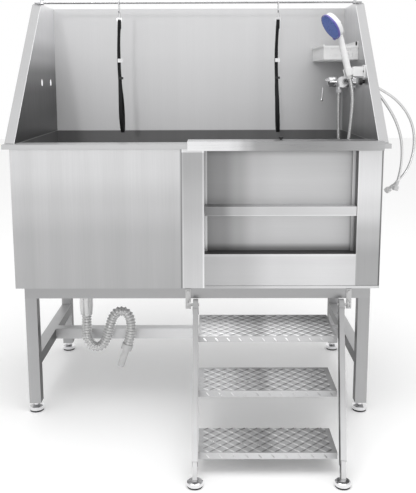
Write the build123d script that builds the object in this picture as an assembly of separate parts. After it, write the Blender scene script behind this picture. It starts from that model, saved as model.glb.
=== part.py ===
from build123d import *
import math
import os

# Stainless steel pet bathtub on a leg frame, with splash walls, a lift-out door,
# fold-up steps, a wall mixer with hand shower, a soap basket and two grooming loops.
# Millimetres.  +Z up, +X to the right of a person who faces the tub, +Y to its back.
# The origin is on the floor, under the middle of the tub and its steps.

# ---------------------------------------------------------------- driving sizes
SHIFT_Y = 227.0            # moves the working frame's Y so that the origin is centred
SHEET = 1.5                # stainless sheet
RIM_X, RIM_FRONT, RIM_BACK = 635.0, -370.0, 372.0
RIM_Z, RIM_T, LIP = 944.0, 2.0, 16.0
BODY_X, BODY_FRONT, BODY_BACK, BODY_Z = 617.0, -345.0, 347.0, 452.0
BASIN_X, BASIN_FRONT, BASIN_BACK, BASIN_Z = 598.0, -290.0, 330.0, 490.0
POST_L = (-50.0, 25.0)     # door posts, X
POST_R = (535.0, 615.5)
SILL_Z = 571.0
POST_BACK = -282.0
SPLASH_Z = 1438.0          # top of the splash walls
SPLASH_TOP_Y = 118.0       # where the sloped front edge meets the top edge
SPLASH_FOOT_Y = -348.0
FLANGE = 33.0
BAR_Y, BAR_Z, BAR_R = 118.0, 1443.0, 6.0
TUBE, WALL = 40.0, 1.5     # frame tube
LEG_X = 570.0
LEG_Y = (-314.0, 271.0)
LEG_BOTTOM = 33.0
RAIL_BOTTOM = 414.0
LOW_Z = (167.0, 207.0)     # lower rails
FOOT_R = 25.0
PIVOT_Y, PIVOT_Z = -356.0, 398.0       # step hinge axis
FOOT_Y, FOOT_TOP = -803.0, 22.0        # step feet
STILE_TOP_X = (-5.0, 488.0)
STILE_FOOT_X = (0.0, 424.0)
STILE_W, STILE_D = 17.0, 40.0
TREAD_Z = (316.0, 192.0, 66.0)
TREAD_DEPTH = (222.0, 186.0, 152.0)
HOLE_Y = (85.0, 235.0)     # mixer holes, both splash walls
HOLE_Z, HOLE_R = 1142.0, 13.5
DRAIN_X, DRAIN_Y = -420.0, -110.0
LOOPS = {"left": (-301.0, -1.0), "right": (305.0, 1.0)}   # X of each loop's hook

os.makedirs("parts", exist_ok=True)
X, Y, Z = Vector(1, 0, 0), Vector(0, 1, 0), Vector(0, 0, 1)


def V(*p):
    return Vector(*p)


def box(x0, x1, y0, y1, z0, z1):
    """Box between two corners."""
    return Pos((x0 + x1) / 2, (y0 + y1) / 2, (z0 + z1) / 2) * Box(abs(x1 - x0), abs(y1 - y0), abs(z1 - z0))


def rod(a, b, r, r2=None):
    """Cylinder, or cone frustum, from point a to point b."""
    a, b = V(*a), V(*b)
    pl = Plane(origin=(a + b) * 0.5, z_dir=(b - a).normalized())
    h = (b - a).length
    return pl * (Cylinder(r, h) if r2 is None else Cone(r, r2, h))


def hexbar(a, b, flats):
    """Hexagonal bar from a to b, with its width across flats."""
    a, b = V(*a), V(*b)
    pl = Plane(origin=a, z_dir=(b - a).normalized())
    return extrude(pl * RegularPolygon(flats / 2, 6, major_radius=False), (b - a).length)


def tube_box(x0, x1, y0, y1, z0, z1, along, t=WALL):
    """Square tube between two corners, open at both ends along one axis."""
    big = box(x0, x1, y0, y1, z0, z1)
    e = [t, t, t]
    e["XYZ".index(along)] = -1.0
    return big - box(x0 + e[0], x1 - e[0], y0 + e[1], y1 - e[1], z0 + e[2], z1 - e[2])


def prism(points, axis, a, b):
    """Polygon extruded from a to b along X, Y or Z. Points are the two other coordinates, in X, Y, Z order."""
    if axis == "X":
        w = [V(a, p[0], p[1]) for p in points]
    elif axis == "Y":
        w = [V(p[0], a, p[1]) for p in points]
    else:
        w = [V(p[0], p[1], a) for p in points]
    f = make_face(Polyline(*w, close=True))
    d = {"X": X, "Y": Y, "Z": Z}[axis]
    return extrude(f, amount=abs(b - a), dir=d if b > a else d * -1)


def parts_of(shape):
    return [s for s in shape.solids()]


def save(name, *shapes):
    solids = [s for sh in shapes for s in parts_of(sh)]
    moved = [s.moved(Location((0, SHIFT_Y, 0))) for s in solids]
    out = moved[0] if len(moved) == 1 else Compound(children=moved)
    export_step(out, f"parts/{name}.step")


def mirror_x(s):
    return s.mirror(Plane.YZ)


def route(points, r, name, limp=False):
    """Free hose: straight runs joined by tangent arcs, round section of radius r."""
    P = [V(*q) for q in points]
    runs = [(b - a).length for a, b in zip(P, P[1:])]
    radii = []
    for i in range(1, len(P) - 1):
        turn = (P[i] - P[i - 1]).get_angle(P[i + 1] - P[i])
        radii.append(0.45 * min(runs[i - 1], runs[i]) / math.tan(math.radians(turn) / 2))
    line = FilletPolyline(*P, radius=radii)
    start = Plane(origin=P[0], z_dir=(P[1] - P[0]).normalized())
    tube = sweep(start * Circle(r), path=line)
    print(name, "length %.0f" % line.length, "radii/dia", [round(q / (2 * r), 1) for q in radii],
          "runs", [round(q) for q in runs],
          "volume ratio %.4f" % (tube.volume / (math.pi * r * r * line.length)))
    return tube


# ---------------------------------------------------------------- tub shell
# The basin is a tray of five sheets; the drain hole is in its floor.
BX, BF, BB, BZ = BASIN_X, BASIN_FRONT, BASIN_BACK, BASIN_Z
RU = RIM_Z - RIM_T
floor = box(-BX, BX, BF, BB, BZ - SHEET, BZ) - box(POST_L[0], BX + 1, BF - 1, POST_BACK, BZ - 9, BZ + 9) - rod((DRAIN_X, DRAIN_Y, BZ - 20), (DRAIN_X, DRAIN_Y, BZ + 20), 44.0)
save("basin",
     floor,
     box(-BX - SHEET, -BX, BF, BB, BZ - SHEET, RU),
     box(BX, BX + SHEET, POST_BACK, BB, BZ - SHEET, RU),
     box(-BX - SHEET, BX + SHEET, BB, BB + SHEET, BZ - SHEET, RU),
     box(-BX - SHEET, POST_L[0], BF - SHEET, BF, BZ - SHEET, RU))

save("front_panel", box(-BODY_X, POST_L[0], BODY_FRONT, BODY_FRONT + SHEET, BODY_Z, RU))

under = box(-BODY_X + SHEET, BODY_X - SHEET, BODY_FRONT + SHEET, BODY_BACK, BODY_Z, BODY_Z + SHEET)
under -= rod((DRAIN_X, DRAIN_Y, BODY_Z - 5), (DRAIN_X, DRAIN_Y, BODY_Z + 9), 30.0)
save("outer_panels",
     box(-BODY_X, -BODY_X + SHEET, BODY_FRONT + SHEET, BODY_BACK, BODY_Z, RU),
     box(BODY_X - SHEET, BODY_X, BODY_FRONT, BODY_BACK, BODY_Z, RU),
     box(-BODY_X, BODY_X, BODY_BACK, BODY_BACK + SHEET, BODY_Z, RU),
     under)

# Door posts: thin-walled boxes, with a U channel on each that guides the door leaf.
PB = BODY_Z + SHEET
def post(x0, x1, front):
    return tube_box(x0, x1, front, POST_BACK, PB, RU, "Z")

def guide(x0, x1, open_x):
    g = box(x0, x1, -296.0, -284.0, SILL_Z, RU)
    s = box(x0 + 1.5, x1 + 1, -291.5, -288.5, SILL_Z - 1, RU + 1) if open_x > 0 else box(x0 - 1, x1 - 1.5, -291.5, -288.5, SILL_Z - 1, RU + 1)
    return g - s

save("door_posts",
     post(POST_L[0], POST_L[1], BODY_FRONT - 2.0), post(POST_R[0], POST_R[1], BODY_FRONT),
     guide(POST_L[1], POST_L[1] + 10, 1), guide(POST_R[0] - 10, POST_R[0], -1))

sill = box(POST_L[1], POST_R[0], BODY_FRONT, POST_BACK, PB, SILL_Z)
sill -= box(POST_L[1] + SHEET, POST_R[0] - SHEET, BODY_FRONT + SHEET, POST_BACK - SHEET, PB - 1, SILL_Z - SHEET)
hem = box(POST_L[1], BODY_X, BODY_FRONT - 2.0, BODY_FRONT, BODY_Z, BODY_Z + 9.0)
save("door_sill", sill, hem)

# Folded rim, with a gap for the door's cap.
CAP_X0, CAP_X1, CAP_FRONT_X1 = -29.0, 596.0, 612.0
LZ = RIM_Z - LIP
rim_front = box(-RIM_X, CAP_X0 - 0.5, RIM_FRONT, BASIN_FRONT, RU, RIM_Z) \
    + box(-RIM_X, CAP_X0 - 0.5, RIM_FRONT, RIM_FRONT + RIM_T, LZ, RU) \
    + box(-RIM_X, -RIM_X + RIM_T, RIM_FRONT + RIM_T, BASIN_FRONT, LZ, RU)
rim_left = box(-RIM_X, -BASIN_X, BASIN_FRONT, RIM_BACK, RU, RIM_Z) \
    + box(-RIM_X, -RIM_X + RIM_T, BASIN_FRONT, RIM_BACK, LZ, RU) \
    + box(-RIM_X + RIM_T, -BASIN_X, RIM_BACK - RIM_T, RIM_BACK, LZ, RU)
rim_right = box(BASIN_X, RIM_X, -350.0, RIM_BACK, RU, RIM_Z) \
    + box(CAP_FRONT_X1 + 0.5, RIM_X, RIM_FRONT, -350.0, RU, RIM_Z) \
    + box(RIM_X - RIM_T, RIM_X, RIM_FRONT, RIM_BACK, LZ, RU) \
    + box(CAP_FRONT_X1 + 0.5, RIM_X - RIM_T, RIM_FRONT, RIM_FRONT + RIM_T, LZ, RU) \
    + box(BASIN_X, RIM_X - RIM_T, RIM_BACK - RIM_T, RIM_BACK, LZ, RU)
rim_back = box(-BASIN_X, BASIN_X, BASIN_BACK, RIM_BACK, RU, RIM_Z) \
    + box(-BASIN_X, BASIN_X, RIM_BACK - RIM_T, RIM_BACK, LZ, RU)
save("rim", rim_front, rim_left, rim_right, rim_back)

# ---------------------------------------------------------------- splash walls
hem_b = box(-BASIN_X, BASIN_X, BB + SHEET, BB + 20.0, SPLASH_Z - SHEET, SPLASH_Z)
save("back_splash", box(-BASIN_X, BASIN_X, BB, BB + SHEET, RIM_Z, SPLASH_Z) + hem_b
     + box(-BASIN_X, BASIN_X, BB + 18.5, BB + 20.0, SPLASH_Z - 12, SPLASH_Z - SHEET))

slope = V(0, SPLASH_TOP_Y - SPLASH_FOOT_Y, SPLASH_Z - RIM_Z).normalized()
nrm = V(0, slope.Z, -slope.Y)      # down and behind the sloped edge
def side_splash():
    """Right-hand wall: flat sheet, sloped front flange with a return, top flange, bar ear."""
    plate = prism([(SPLASH_FOOT_Y, RIM_Z), (SPLASH_TOP_Y, SPLASH_Z), (BB, SPLASH_Z), (BB, RIM_Z)], "X", BASIN_X, BASIN_X + SHEET)
    ear = rod((BASIN_X, BAR_Y, BAR_Z), (BASIN_X + SHEET, BAR_Y, BAR_Z), 13.0)
    plate = plate + ear
    plate -= rod((BASIN_X - 5, BAR_Y, BAR_Z), (BASIN_X + 8, BAR_Y, BAR_Z), BAR_R + 0.2)
    for y in HOLE_Y:
        plate -= rod((BASIN_X - 5, y, HOLE_Z), (BASIN_X + 8, y, HOLE_Z), HOLE_R)
    a, b = V(0, SPLASH_FOOT_Y, RIM_Z), V(0, SPLASH_TOP_Y, SPLASH_Z)
    a0 = a + slope * (SHEET / slope.Z + 0.2) * 1.0
    q = [a0, b, b + nrm * SHEET, a0 + nrm * SHEET]
    flange = prism([(p.Y, p.Z) for p in q], "X", BASIN_X + SHEET, BASIN_X + FLANGE)
    r = [a0 + nrm * SHEET + slope * 10, b + nrm * SHEET, b + nrm * 12, a0 + nrm * 12 + slope * 18]
    ret = prism([(p.Y, p.Z) for p in r], "X", BASIN_X + FLANGE - SHEET, BASIN_X + FLANGE)
    top = box(BASIN_X + SHEET, BASIN_X + FLANGE, SPLASH_TOP_Y + 1.2, BB, SPLASH_Z - SHEET, SPLASH_Z)
    top_ret = box(BASIN_X + FLANGE - SHEET, BASIN_X + FLANGE, SPLASH_TOP_Y + 16, BB, SPLASH_Z - 12, SPLASH_Z - SHEET)
    gap = rod((BASIN_X + 1.6, BAR_Y, BAR_Z), (BASIN_X + 60, BAR_Y, BAR_Z), 9.0)
    return [plate, flange + ret - gap, top + top_ret - gap]

right = side_splash()
save("side_splash_right", *right)
save("side_splash_left", *[mirror_x(s) for s in right])

# ---------------------------------------------------------------- hanging bar
save("hanging_bar", rod((-622, BAR_Y, BAR_Z), (622, BAR_Y, BAR_Z), BAR_R))
nuts = []
for s in (-1, 1):
    for a, b in ((588.0, 597.8), (599.7, 612.0)):
        n = hexbar((s * a, BAR_Y, BAR_Z), (s * b, BAR_Y, BAR_Z), 17.0) if a < 590 else rod((s * a, BAR_Y, BAR_Z), (s * b, BAR_Y, BAR_Z), 8.5)
        nuts.append(n - rod((s * (a - 5), BAR_Y, BAR_Z), (s * (b + 5), BAR_Y, BAR_Z), BAR_R))

# ---------------------------------------------------------------- leg frame
legs = []
for x in (-LEG_X, LEG_X):
    for y in LEG_Y:
        h = TUBE / 2
        legs.append(tube_box(x - h, x + h, y - h, y + h, LEG_BOTTOM, RAIL_BOTTOM, "Z"))
        plug = box(x - h + WALL, x + h - WALL, y - h + WALL, y + h - WALL, LEG_BOTTOM, LEG_BOTTOM + 12)
        legs.append(plug - rod((x, y, 0), (x, y, 80), 6.0))
save("legs", *legs)
h = TUBE / 2
save("top_rails",
     tube_box(-LEG_X - h, LEG_X + h, LEG_Y[0] - h, LEG_Y[0] + h, RAIL_BOTTOM, BODY_Z, "X"),
     tube_box(-LEG_X - h, LEG_X + h, LEG_Y[1] - h, LEG_Y[1] + h, RAIL_BOTTOM, BODY_Z, "X"),
     tube_box(-LEG_X - h, -LEG_X + h, LEG_Y[0] + h, LEG_Y[1] - h, RAIL_BOTTOM, BODY_Z, "Y"),
     tube_box(LEG_X - h, LEG_X + h, LEG_Y[0] + h, LEG_Y[1] - h, RAIL_BOTTOM, BODY_Z, "Y"))
save("lower_rails",
     tube_box(-LEG_X - h, -LEG_X + h, LEG_Y[0] + h, LEG_Y[1] - h, *LOW_Z, "Y"),
     tube_box(LEG_X - h, LEG_X + h, LEG_Y[0] + h, LEG_Y[1] - h, *LOW_Z, "Y"),
     tube_box(-LEG_X + h, LEG_X - h, -55, -15, *LOW_Z, "X"))

# Levelling feet: rubber pad, chromed disc, threaded stem and lock nut.
def level_foot(x, y, top, stem_top):
    pad = rod((x, y, 0), (x, y, 6.0), FOOT_R - 1.5)
    disc = rod((x, y, 6.0), (x, y, 17.0), FOOT_R) + Pos(x, y, 20.0) * Cone(FOOT_R - 2, 11.0, 6.0)
    nut = hexbar((x, y, 23.0), (x, y, top - 0.4), 19.0)
    stem = rod((x, y, 17.0), (x, y, stem_top), 5.95)
    return pad, disc + nut + stem

for nx, x in (("left", -LEG_X), ("right", LEG_X)):
    for ny, y in (("front", LEG_Y[0]), ("rear", LEG_Y[1])):
        save(f"foot_{ny}_{nx}", *level_foot(x, y, LEG_BOTTOM, LEG_BOTTOM + 28))

# ---------------------------------------------------------------- steps
P, F = V(0, PIVOT_Y, PIVOT_Z), V(0, FOOT_Y, FOOT_TOP)
lean = (F - P).normalized()                 # down the stile, in the YZ plane
across = V(0, -lean.Z, lean.Y)              # square to the stile, towards the floor's back
run = (F - P).length
OUT_END, IN_START = run - 42.0, run - 160.0

def stile_dir(i):
    a = V(STILE_TOP_X[i], P.Y, P.Z)
    b = V(STILE_FOOT_X[i], F.Y, F.Z)
    return a, (b - a).normalized()

def leg_plane(i, s):
    """Section plane across a stile, at s millimetres from the hinge axis."""
    a, d = stile_dir(i)
    return Plane(origin=a + d * s, x_dir=(X - d * X.dot(d)).normalized(), z_dir=d)

stiles, inner = [], []
for i in (0, 1):
    outer = extrude(leg_plane(i, 0.0) * Rectangle(STILE_W, STILE_D), OUT_END) \
        + rod((STILE_TOP_X[i] - STILE_W / 2, P.Y, P.Z), (STILE_TOP_X[i] + STILE_W / 2, P.Y, P.Z), STILE_D / 2)
    hollow = extrude(leg_plane(i, 4.0 + 16.0) * Rectangle(STILE_W - 2 * WALL, STILE_D - 2 * WALL), OUT_END)
    s = outer - hollow
    s -= rod((STILE_TOP_X[i] - 40, P.Y, P.Z), (STILE_TOP_X[i] + 40, P.Y, P.Z), 5.05)
    stiles.append(s)
    inner.append(extrude(leg_plane(i, IN_START) * (Rectangle(STILE_W - 2 * WALL - 0.6, STILE_D - 2 * WALL - 0.6)
                 - Rectangle(STILE_W - 4 * WALL - 0.6, STILE_D - 4 * WALL - 0.6)), run + 10.0 - IN_START))
# collars round the stile below the hinge
collars = []
for i in (0, 1):
    c = extrude(leg_plane(i, 21.0) * (Rectangle(STILE_W + 3.0, STILE_D + 3.0) - Rectangle(STILE_W, STILE_D)), 5.0)
    collars.append(c)
save("step_stiles", *stiles, *collars)

# Inner legs slide in the stiles; each carries a foot that turns on a stem.
def step_leg(i):
    a, d = stile_dir(i)
    base = V(STILE_FOOT_X[i], F.Y, F.Z)
    end = base - d * 8.0
    shoe = box(base.X - 6.6, base.X + 6.6, F.Y - 11, F.Y + 15, FOOT_TOP - 1.5, FOOT_TOP + 8)
    leg = inner[i] - box(-700, 700, -1000, 0, -50, FOOT_TOP + 0.2)
    shoe -= rod((base.X, F.Y, 0), (base.X, F.Y, FOOT_TOP + 5.0), 4.0)
    return leg + shoe

for i, n in enumerate(("left", "right")):
    save(f"step_leg_{n}", step_leg(i))
    x = STILE_FOOT_X[i]
    pad = rod((x, F.Y, 0), (x, F.Y, 5.0), 22.0)
    disc = rod((x, F.Y, 5.0), (x, F.Y, 15.0), 23.0) + Pos(x, F.Y, 16.0) * Cone(23.0, 19.0, 2.0) \
        + rod((x, F.Y, 15.0), (x, F.Y, FOOT_TOP - 1.9), 7.0) + rod((x, F.Y, 15.0), (x, F.Y, FOOT_TOP + 4.6), 3.95)
    save(f"step_foot_{n}", pad, disc)

def stile_x(i, z):
    """X of a stile's centre line at height z."""
    a, d = stile_dir(i)
    return a.X + d.X * (z - a.Z) / d.Z

for name, z, depth in zip(("tread_top", "tread_middle", "tread_bottom"), TREAD_Z, TREAD_DEPTH):
    yf = P.Y + (z - P.Z) * lean.Y / lean.Z + 14.0
    x0 = max(stile_x(0, z + 12), stile_x(0, z - 22)) + STILE_W / 2 + 0.4
    x1 = min(stile_x(1, z + 12), stile_x(1, z - 22)) - STILE_W / 2 - 0.4
    t = box(x0, x1, yf, yf + depth, z - 3.0, z)
    t += box(x0, x1, yf, yf + 2.5, z - 20.0, z - 3.0)
    t += box(x0, x1, yf + depth - 2.5, yf + depth, z - 20.0, z - 3.0)
    # end plates, welded to the stiles
    for a, b in ((x0, x0 + 2.5), (x1 - 2.5, x1)):
        t += prism([(yf, z - 20), (yf + depth, z - 20), (yf + depth, z - 3), (yf, z - 3)], "X", a, b)
    save(name, t)

# Hinge brackets on the front rail, with their pins.
RAIL_FACE = LEG_Y[0] - TUBE / 2
brackets = []
for i, s in ((0, -1), (1, 1)):
    xs = STILE_TOP_X[i]
    far = xs + s * (35.0, 38.0)[i]
    near = xs + s * (17.0, 20.0)[i]
    lo_x, hi_x = sorted((far, near))
    plate = box(lo_x, hi_x, RAIL_FACE - 4.0, RAIL_FACE, 378.0, 447.0)
    ear_x = sorted((near, near + s * 4.0))
    ear = prism([(RAIL_FACE - 4.0, 412.0), (RAIL_FACE - 4.0, 384.0), (P.Y - 8, 386.0), (P.Y - 11, 392.0), (P.Y - 11, 404.0), (P.Y - 6, 410.0)],
                "X", ear_x[0], ear_x[1])
    bolt = hexbar(((lo_x + hi_x) / 2, RAIL_FACE - 9.0, 437.0), ((lo_x + hi_x) / 2, RAIL_FACE - 4.0, 437.0), 10.0)
    pin_a, pin_b = xs - s * 11.5, near + s * 4.0 + s * 3.0
    ear -= rod((pin_a, P.Y, P.Z), (pin_b + s * 5, P.Y, P.Z), 5.0)
    pin = rod((pin_a, P.Y, P.Z), (pin_b, P.Y, P.Z), 5.0)
    head = rod((pin_b, P.Y, P.Z), (pin_b + s * 3.5, P.Y, P.Z), 8.0)
    brackets += [plate + ear, bolt, pin + head]
save("step_brackets", *brackets)

# ---------------------------------------------------------------- lift-out door
LEAF_X = (27.0, 533.0)
LEAF_Y = (-291.0, -289.0)
CAP_Z = (922.0, 953.0)
CAP_Y = (-372.0, -287.0)
save("door_leaf", box(LEAF_X[0], LEAF_X[1], *LEAF_Y, SILL_Z + 0.3, CAP_Z[1] - SHEET))
RZ = (702.0, 733.0)
rail = box(LEAF_X[0], LEAF_X[1], BODY_FRONT, BODY_FRONT + SHEET, *RZ)
for z0, z1 in ((RZ[0], RZ[0] + SHEET), (RZ[1] - SHEET, RZ[1])):
    rail += box(LEAF_X[0], LEAF_X[1], BODY_FRONT, -298.0, z0, z1) + box(37.0, 523.0, -298.0, LEAF_Y[0], z0, z1)
save("door_mid_rail", rail)
cap = box(CAP_X0, CAP_X1, CAP_Y[0], CAP_Y[1], CAP_Z[1] - SHEET, CAP_Z[1]) \
    + box(CAP_X0, CAP_FRONT_X1, CAP_Y[0], -352.0, CAP_Z[1] - SHEET, CAP_Z[1]) \
    + box(CAP_X0, CAP_FRONT_X1, CAP_Y[0], CAP_Y[0] + SHEET, CAP_Z[0], CAP_Z[1] - SHEET) \
    + box(LEAF_X[0], LEAF_X[1], CAP_Y[1] - SHEET, CAP_Y[1], RU + 0.6, CAP_Z[1] - SHEET)
save("door_cap", cap)
knob = rod((282, -300, CAP_Z[1]), (282, -300, CAP_Z[1] + 3.0), 4.0) + rod((282, -300, CAP_Z[1] + 3.0), (282, -300, CAP_Z[1] + 9.0), 7.5)
save("door_knob", knob)

# ---------------------------------------------------------------- drain
dx, dy = DRAIN_X, DRAIN_Y
def ring(r0, r1, z0, z1, x=None, y=None):
    x, y = dx if x is None else x, dy if y is None else y
    return rod((x, y, z0), (x, y, z1), r1) - rod((x, y, z0 - 1), (x, y, z1 + 1), r0)

# Flange: a bowl with a rim on the basin floor and a threaded neck.
flange = ring(38, 56, BZ, BZ + 1.5) + ring(38, 43, BZ - 16, BZ + 1.5) + ring(20.5, 43, BZ - 18.5, BZ - 16) + ring(20.5, 23.5, BZ - 60, BZ - 18.5)
save("drain_flange", flange)
save("drain_gasket", ring(44.5, 54, BZ - SHEET - 3.0, BZ - SHEET))
nut = hexbar((dx, dy, BODY_Z - 16.5), (dx, dy, BODY_Z - 2.5), 62.0) - rod((dx, dy, 300), (dx, dy, 600), 23.7)
tail = ring(19.4, 25.0, 318.0, BODY_Z - 22.0) + Pos(dx, dy, 301.0) * Cone(21.4, 25.0, 34.0) - rod((dx, dy, 280), (dx, dy, 318.5), 19.4) + ring(23.7, 25.0, BODY_Z - 22.0, BODY_Z - 16.5)
washer = ring(23.7, 36.0, BODY_Z - 2.5, BODY_Z)
ring_nut = ring(43.2, 54.0, BZ - 12.0, BZ - 4.5)      # holds the flange and gasket to the basin
save("drain_tailpiece", nut, tail, washer, ring_nut)
holes = [(0, 0)] + [(13 * math.cos(a), 13 * math.sin(a)) for a in [k * math.pi / 3 for k in range(6)]] \
    + [(25 * math.cos(a), 25 * math.sin(a)) for a in [k * math.pi / 6 for k in range(12)]]
strainer = rod((dx, dy, BZ - 9.5), (dx, dy, BZ - 8.0), 36.0) + ring(35.0, 36.5, BZ - 9.5, BZ + 2.0) + ring(35.0, 41.0, BZ + 1.8, BZ + 3.3)
for hx, hy in holes:
    strainer -= rod((dx + hx, dy + hy, BZ - 20), (dx + hx, dy + hy, BZ - 5), 2.6)
strainer += rod((dx, dy, BZ - 8.0), (dx, dy, BZ + 4.0), 2.2) + Pos(dx, dy, BZ + 6.0) * Sphere(4.5)
save("drain_strainer", strainer)

DRAIN = [(dx, dy, 317.1), (dx, dy, 248), (-423, dy, 190), (-398, dy, 156), (-366, dy, 156), (-345, dy, 194), (-333, dy, 240), (-322, dy, 275),
         (-303, dy, 296), (-272, dy, 294), (-256, dy, 268), (-254, dy, 232), (-257, dy, 198), (-267.6, dy, 166.7)]
save("drain_hose", route(DRAIN, 19.0, "drain_hose"))
e0, e1 = V(*DRAIN[-2]), V(*DRAIN[-1])
ed = (e1 - e0).normalized()
q = lambda s: tuple(e1 + ed * s)
save("drain_spigot", rod(q(0), q(22), 21.0) + rod(q(22), q(83), 13.5) + rod(q(83), q(92), 13.5, 12.0)
     - rod(q(-1), q(100), 10.5))

# ---------------------------------------------------------------- mixer
MX = 548.0                       # mixer body axis
unions, fittings = [], []
for y in HOLE_Y:
    fittings.append(rod((MX + 16, y, HOLE_Z), (BX + 28, y, HOLE_Z), 12.7))           # threaded union through the wall
    fittings.append(rod((BX - 11, y, HOLE_Z), (BX, y, HOLE_Z), 24.0, 30.0) - rod((BX - 20, y, HOLE_Z), (BX + 5, y, HOLE_Z), 12.7))   # cover rose
    fittings.append(hexbar((MX + 21.3, y, HOLE_Z), (MX + 36, y, HOLE_Z), 34.0) - rod((MX, y, HOLE_Z), (BX, y, HOLE_Z), 12.7))
    fittings.append(hexbar((BX + SHEET, y, HOLE_Z), (BX + SHEET + 8, y, HOLE_Z), 36.0) - rod((BX, y, HOLE_Z), (BX + 30, y, HOLE_Z), 12.7))
outlet_x, outlet_y = 560.0, 160.0
fittings.append(hexbar((MX + 4, outlet_y, HOLE_Z - 30.0), (MX + 4, outlet_y, HOLE_Z - 42.0), 22.0) - rod((MX + 4, outlet_y, HOLE_Z - 60), (MX + 4, outlet_y, HOLE_Z), 7.0))
save("mixer_fittings", *fittings)
body = rod((MX, 62, HOLE_Z), (MX, 258, HOLE_Z), 21.0)
for y in HOLE_Y:
    body += rod((MX, y, HOLE_Z), (MX + 20, y, HOLE_Z), 19.0)
body += rod((MX - 22, 160, HOLE_Z), (MX, 160, HOLE_Z), 21.0)
body += rod((MX + 4, 160, HOLE_Z - 30), (MX + 4, 160, HOLE_Z), 10.5)
for y in HOLE_Y:
    body -= rod((MX + 16, y, HOLE_Z), (MX + 30, y, HOLE_Z), 12.7)
save("mixer_body", body)
cx0 = MX - 22.4
AX, AZ = cx0 - 24.5, HOLE_Z + 8.0          # lever pin
cap_m = rod((cx0, 160, HOLE_Z), (cx0 - 14, 160, HOLE_Z), 20.0) + rod((cx0 - 14, 160, HOLE_Z), (cx0 - 19, 160, HOLE_Z), 20.0, 14.0)
for y0, y1 in ((149.0, 154.7), (165.3, 171.0)):
    ear = rod((AX, y0, AZ), (AX, y1, AZ), 4.8) + box(AX, cx0 - 17.0, y0, y1, AZ - 4.8, AZ + 4.8)
    cap_m += ear - rod((AX, y0 - 1, AZ), (AX, y1 + 1, AZ), 1.95)
save("mixer_cap", cap_m)
# Lever: a slim curved bar with a pinned barrel; it hangs at rest and swings out.
lev_pts = [(AX - 1.5, AZ + 8), (AX - 10, AZ - 4), (AX - 12.5, AZ - 30), (AX - 14.5, AZ - 58), (AX - 16.5, AZ - 79)]
lev = rod((AX, 155, AZ), (AX, 165, AZ), 4.8) + rod((AX, 149.5, AZ), (AX, 170.5, AZ), 1.9) + Pos(lev_pts[0][0], 160, lev_pts[0][1]) * Sphere(3.2)
for (xa, za), (xb, zb) in zip(lev_pts, lev_pts[1:]):
    lev += rod((xa, 160, za), (xb, 160, zb), 3.2)
    lev += Pos(xb, 160, zb) * Sphere(3.2 if zb != lev_pts[-1][1] else 5.0)
save("mixer_lever", lev)

# ---------------------------------------------------------------- hand shower
A0, B = V(548, -85, 1152), V(508, -88, 1301)    # axis through the holder's ring and the handle
hd = (B - A0).normalized()
A = A0 + hd * 26.0                              # bottom of the handle
hp = lambda s: tuple(A + hd * s)
hq = lambda s: tuple(A0 + hd * s)
L_H = (B - A).length
HEAD = V(470, -112, 1333)
face_n = V(-0.80, -0.24, -0.55).normalized()
handle = rod(hp(0), hp(11), 10.5, 12.4) + rod(hp(11), hp(60), 12.4) + rod(hp(60), hp(L_H), 12.4, 10.0) + Pos(*B) * Sphere(10.0)
neck_end = HEAD - face_n * 26.0
handle += rod(tuple(B), tuple(neck_end), 10.0, 15.0)
hpl = Plane(origin=HEAD, z_dir=face_n)
head = hpl * (Pos(0, 0, -8.5) * Cylinder(45.0, 21.0) + Pos(0, 0, -23.5) * Cone(20.0, 43.0, 9.0) + Pos(0, 0, -27.0) * Cylinder(18.0, 10.0))
save("handset", handle + head)
plate = hpl * (Pos(0, 0, 3.2) * Cylinder(44.0, 2.4))
noz = []
for rr, n in ((8, 6), (18, 12), (28, 18), (37, 24)):
    for k in range(n):
        a = 2 * math.pi * k / n
        noz.append(hpl * (Pos(rr * math.cos(a), rr * math.sin(a), 4.9) * Cylinder(1.1, 1.2)))
plate = plate + noz
save("spray_face", plate)
# selector ring round the head's edge with a thumb tab
sel = Cylinder(48.0, 6.0) - Cylinder(45.3, 9.0)
sel = Pos(0, 0, 0.5) * sel
dirv = (hpl.to_local_coords(V(*hp(L_H - 20))) - V(0, 0, 0))
ang = math.degrees(math.atan2(dirv.Y, dirv.X))
tab = Rot(0, 0, ang - 17.0) * (Pos(51.0, 0, 0.5) * Box(9.0, 11.0, 6.0))
save("spray_selector", hpl * (sel + tab))
save("handset_cone_nut", rod(hp(-24), hp(-0.0), 8.2, 10.4) - rod(hp(-30), hp(-12), 7.0))

# Holder: plate on the wall, arm, and a split ring round the handle.
ra, rb = hq(14), hq(38)
clamp = rod(ra, rb, 18.0) - rod(hq(-5), hq(60), 13.0)
mid = V(*hq(26))
clamp -= Plane(origin=mid, x_dir=(-1, -0.45, 0), z_dir=hd) * (Pos(14, 0, 0) * Box(22, 15.0, 60))
arm = box(mid.X + 14.5, BX - 6, -97, -73, 1162, 1196)
wall_plate = box(BX - 6, BX, -108, -62, 1157, 1201)
fill = arm - rod(hq(-20), hq(80), 13.0)
save("shower_holder", clamp + fill + wall_plate)
KY, KZ = -92.0, 1143.0
kn = rod((BX - 20, KY, KZ), (BX - 8, KY, KZ), 11.0, 12.5) + rod((BX - 8, KY, KZ), (BX - 0.3, KY, KZ), 7.0)
save("holder_knob", kn)

SHOWER = [(MX + 4, 160, HOLE_Z - 42), (552, 160, 1010), (556, 162, 920), (560, 163, 825), (558, 162, 730), (549, 155, 640), (532, 132, 560),
          (512, 92, 506), (497, 36, 497.6), (494, -24, 500), (506, -66, 552), (521, -82, 640), (533, -87, 735), (541, -86, 835),
          (549, -84, 930), (558, -83, 1012), tuple(A - hd * 72 + V(1, 0, -2)), tuple(A - hd * 24)]
save("shower_hose", route(SHOWER, 7.0, "shower_hose"))

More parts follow.
